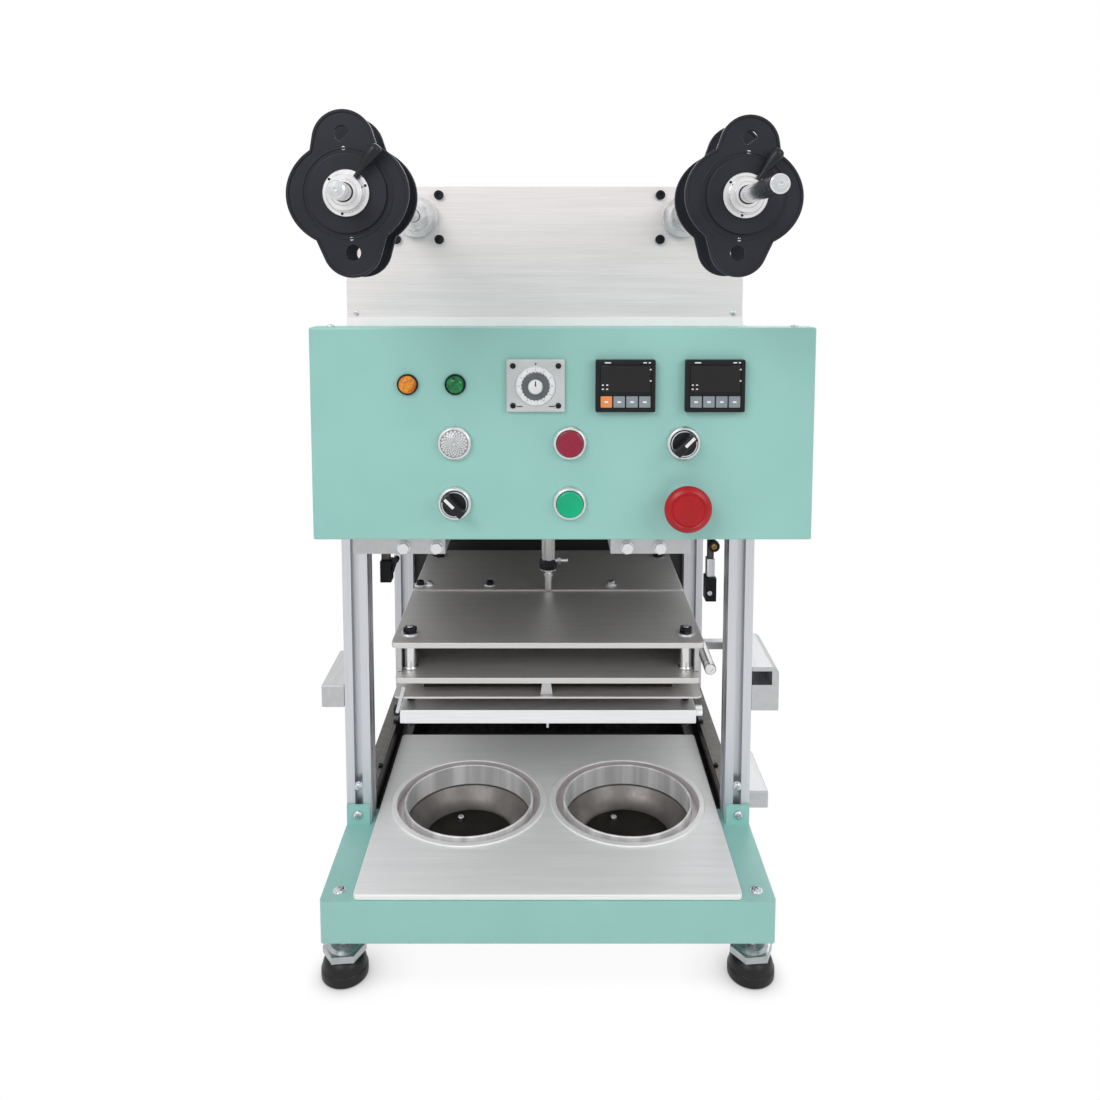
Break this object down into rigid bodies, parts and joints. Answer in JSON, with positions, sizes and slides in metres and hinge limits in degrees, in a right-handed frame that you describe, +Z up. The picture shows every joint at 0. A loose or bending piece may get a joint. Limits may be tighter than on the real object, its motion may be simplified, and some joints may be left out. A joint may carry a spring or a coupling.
{
  "type": "cup sealing machine",
  "caption": "Bench cup sealer with a sliding cup tray under a pneumatic heat-press head, film reels above and levelling feet.",
  "frame": {"origin": "on the floor, under the middle of the machine's bounding box", "axes": "+Z up, -Y the front that faces the operator, +X to the operator's right"},
  "size_m": [0.4676, 0.703, 0.766],
  "materials": {
    "mint_paint": "smooth satin powder coat",
    "brushed_steel": "brushed",
    "dark_steel": "dull",
    "chrome": "polished",
    "anodised_aluminium": "anodised satin",
    "black_rubber": "matte",
    "black_plastic": "fine moulded",
    "black_paint": "satin",
    "pale_plastic": "satin",
    "amber_lens": "clear gloss",
    "green_lens": "clear gloss",
    "clear_lens": "clear gloss",
    "red_cap": "gloss",
    "green_cap": "gloss"
  },
  "bodies": {
    "frame": {"base_frame": "mint_paint", "levelling_foot_front_left": "black_rubber", "levelling_foot_front_right": "black_rubber", "levelling_foot_rear_left": "black_rubber", "levelling_foot_rear_right": "black_rubber", "column_front_left": "anodised_aluminium", "column_front_right": "anodised_aluminium", "column_rear_left": "anodised_aluminium", "column_rear_right": "anodised_aluminium", "rear_panel": "black_paint", "deck_plate": "brushed_steel", "guide_block_left": "brushed_steel", "guide_block_right": "brushed_steel", "upper_housing": "mint_paint", "control_fascia": "mint_paint", "reel_panel": "brushed_steel", "reel_panel_foot": "brushed_steel", "amber_lamp": "amber_lens", "green_lamp": "green_lens", "clear_lamp": "clear_lens", "timer_plate": "pale_plastic", "temperature_controller_left": "black_plastic", "temperature_controller_right": "black_plastic", "press_cylinder": "anodised_aluminium", "tray_rail_left": "dark_steel", "tray_rail_right": "dark_steel", "film_bracket_left": "brushed_steel", "film_bracket_right": "brushed_steel", "film_bracket_lower_right": "brushed_steel", "reel_bearing_left": "chrome", "reel_bearing_right": "chrome"},
    "tray": {"tray_plate": "brushed_steel", "cutting_ring_left": "brushed_steel", "cutting_ring_right": "brushed_steel", "cup_holder_left": "brushed_steel", "cup_holder_right": "brushed_steel"},
    "press_head": {"head_upper_plate": "brushed_steel", "head_middle_plate": "brushed_steel", "heater_block": "dark_steel", "head_stripper_plate": "brushed_steel", "head_seal_plate": "anodised_aluminium", "press_rod": "chrome"},
    "timer_control": {"timer_dial": "black_plastic"},
    "left_selector": {"left_selector_knob": "black_plastic"},
    "right_selector": {"right_selector_knob": "black_plastic"},
    "red_button": {"red_button_cap": "red_cap"},
    "green_button": {"green_button_cap": "green_cap"},
    "emergency_stop": {"emergency_stop_button": "red_cap"},
    "right_roller": {"film_roller_right": "brushed_steel"},
    "left_reel": {"reel_shaft_left": "chrome"},
    "left_reel_back": {"reel_back_disc_left": "black_plastic"},
    "left_reel_front": {"reel_front_disc_left": "black_plastic", "reel_collar_left": "chrome"},
    "left_clamp": {"clamp_lever_left": "black_plastic"},
    "right_reel": {"reel_shaft_right": "chrome"},
    "right_reel_back": {"reel_back_disc_right": "black_plastic"},
    "right_reel_front": {"reel_front_disc_right": "black_plastic", "reel_collar_right": "chrome"},
    "right_clamp": {"clamp_lever_right": "black_plastic"}
  },
  "joints": [
    {"name": "tray_slide", "type": "slide", "parent": "frame", "child": "tray", "axis": [0, 1, 0], "range_m": [0, 0.096]},
    {"name": "press_slide", "type": "slide", "parent": "frame", "child": "press_head", "axis": [0, 0, -1], "range_m": [0, 0.105]},
    {"name": "timer_turn", "type": "hinge", "parent": "frame", "child": "timer_control", "pos_m": [-0.01, -0.1239, 0.5621], "axis": [0, -1, 0], "range_deg": [-135, 135]},
    {"name": "left_selector_turn", "type": "hinge", "parent": "frame", "child": "left_selector", "pos_m": [-0.0787, -0.1239, 0.4613], "axis": [0, 1, 0], "range_deg": [0, 90]},
    {"name": "right_selector_turn", "type": "hinge", "parent": "frame", "child": "right_selector", "pos_m": [0.1147, -0.1239, 0.5131], "axis": [0, 1, 0], "range_deg": [-90, 0]},
    {"name": "red_button_push", "type": "slide", "parent": "frame", "child": "red_button", "axis": [0, 1, 0], "range_m": [0, 0.003], "stiffness_N_per_m": 900, "springref_m": -0.002},
    {"name": "green_button_push", "type": "slide", "parent": "frame", "child": "green_button", "axis": [0, 1, 0], "range_m": [0, 0.003], "stiffness_N_per_m": 900, "springref_m": -0.002},
    {"name": "emergency_stop_push", "type": "slide", "parent": "frame", "child": "emergency_stop", "axis": [0, 1, 0], "range_m": [0, 0.005], "stiffness_N_per_m": 900, "springref_m": -0.004},
    {"name": "right_roller_spin", "type": "hinge", "parent": "frame", "child": "right_roller", "pos_m": [0.168, 0.0597, 0.2454], "axis": [0, 1, 0], "continuous": true},
    {"name": "left_reel_spin", "type": "hinge", "parent": "frame", "child": "left_reel", "pos_m": [-0.1333, 0, 0.7106], "axis": [0, 1, 0], "continuous": true},
    {"name": "right_reel_spin", "type": "hinge", "parent": "frame", "child": "right_reel", "pos_m": [0.1365, 0, 0.7106], "axis": [0, 1, 0], "continuous": true},
    {"name": "left_back_disc_slide", "type": "slide", "parent": "left_reel", "child": "left_reel_back", "axis": [0, 1, 0], "range_m": [-0.008, 0.2]},
    {"name": "right_back_disc_slide", "type": "slide", "parent": "right_reel", "child": "right_reel_back", "axis": [0, 1, 0], "range_m": [-0.008, 0.2]},
    {"name": "left_front_disc_slide", "type": "slide", "parent": "left_reel", "child": "left_reel_front", "axis": [0, -1, 0], "range_m": [-0.018, 0.012]},
    {"name": "right_front_disc_slide", "type": "slide", "parent": "right_reel", "child": "right_reel_front", "axis": [0, -1, 0], "range_m": [-0.018, 0.08]},
    {"name": "left_clamp_turn", "type": "hinge", "parent": "left_reel_front", "child": "left_clamp", "pos_m": [-0.12613, -0.2802, 0.72047], "axis": [0.5878, 0, 0.809], "range_deg": [-180, 180]},
    {"name": "right_clamp_turn", "type": "hinge", "parent": "right_reel_front", "child": "right_clamp", "pos_m": [0.14367, -0.2572, 0.72047], "axis": [0.5878, 0, 0.809], "range_deg": [-180, 180]}
  ]
}
